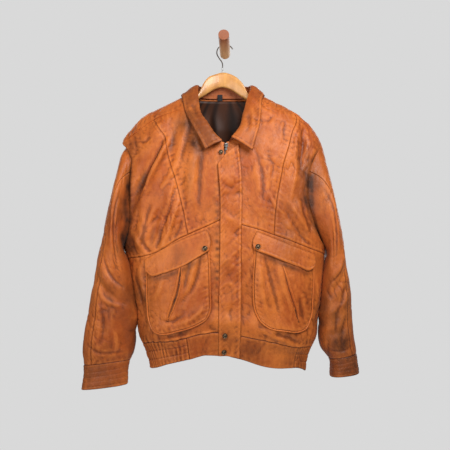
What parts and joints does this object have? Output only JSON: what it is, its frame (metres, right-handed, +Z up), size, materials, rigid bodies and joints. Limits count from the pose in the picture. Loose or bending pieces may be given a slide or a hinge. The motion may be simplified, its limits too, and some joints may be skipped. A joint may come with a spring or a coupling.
{
  "type": "leather jacket",
  "caption": "Worn leather blouson jacket with a zip and storm flap, hung open-collared on a contoured wooden hanger from a wooden wall peg.",
  "frame": {"origin": "middle of the peg's flat wall end, on the wall", "axes": "+X to the right as seen from the front, +Y into the wall (the front faces -Y), +Z up"},
  "size_m": [0.677, 0.1788, 0.87],
  "materials": {
    "leather": "worn, semi-matt",
    "satin": "satin",
    "tape": "matt",
    "hanger": "varnished",
    "peg": "oiled",
    "steel": "bright",
    "studs": "dark, antique"
  },
  "bodies": {
    "jacket": {"front_centre_left": "leather", "front_side_left": "leather", "front_lower_left": "leather", "sleeve_upper_left": "leather", "sleeve_under_left": "leather", "cuff_left": "leather", "waistband_front_left": "leather", "waistband_elastic_left": "leather", "pocket_left": "leather", "pocket_flap_left": "leather", "pocket_welt_left": "leather", "pocket_piping_left": "leather", "front_centre_right": "leather", "front_side_right": "leather", "front_lower_right": "leather", "sleeve_upper_right": "leather", "sleeve_under_right": "leather", "cuff_right": "leather", "waistband_front_right": "leather", "waistband_elastic_right": "leather", "pocket_right": "leather", "pocket_flap_right": "leather", "pocket_welt_right": "leather", "pocket_piping_right": "leather", "back": "leather", "waistband_back": "leather", "storm_flap": "leather", "collar_fall": "leather", "collar_stand": "leather", "back_lining": "satin", "loop_tab": "tape", "zip_tape": "tape", "zip_slider": "steel", "snap_pocket_left": "studs", "snap_pocket_right": "studs", "snap_band_upper": "studs", "snap_band_lower": "studs", "snap_neck": "studs", "hanger": "hanger", "hanger_hook": "steel", "wall_peg": "peg"},
    "pull_tab": {"zip_pull": "steel"}
  },
  "joints": [
    {"name": "zip_pull_swing", "type": "hinge", "parent": "jacket", "child": "pull_tab", "pos_m": [0.003, -0.15522, -0.24507], "axis": [-1, 0, 0], "range_deg": [0, 120]}
  ]
}
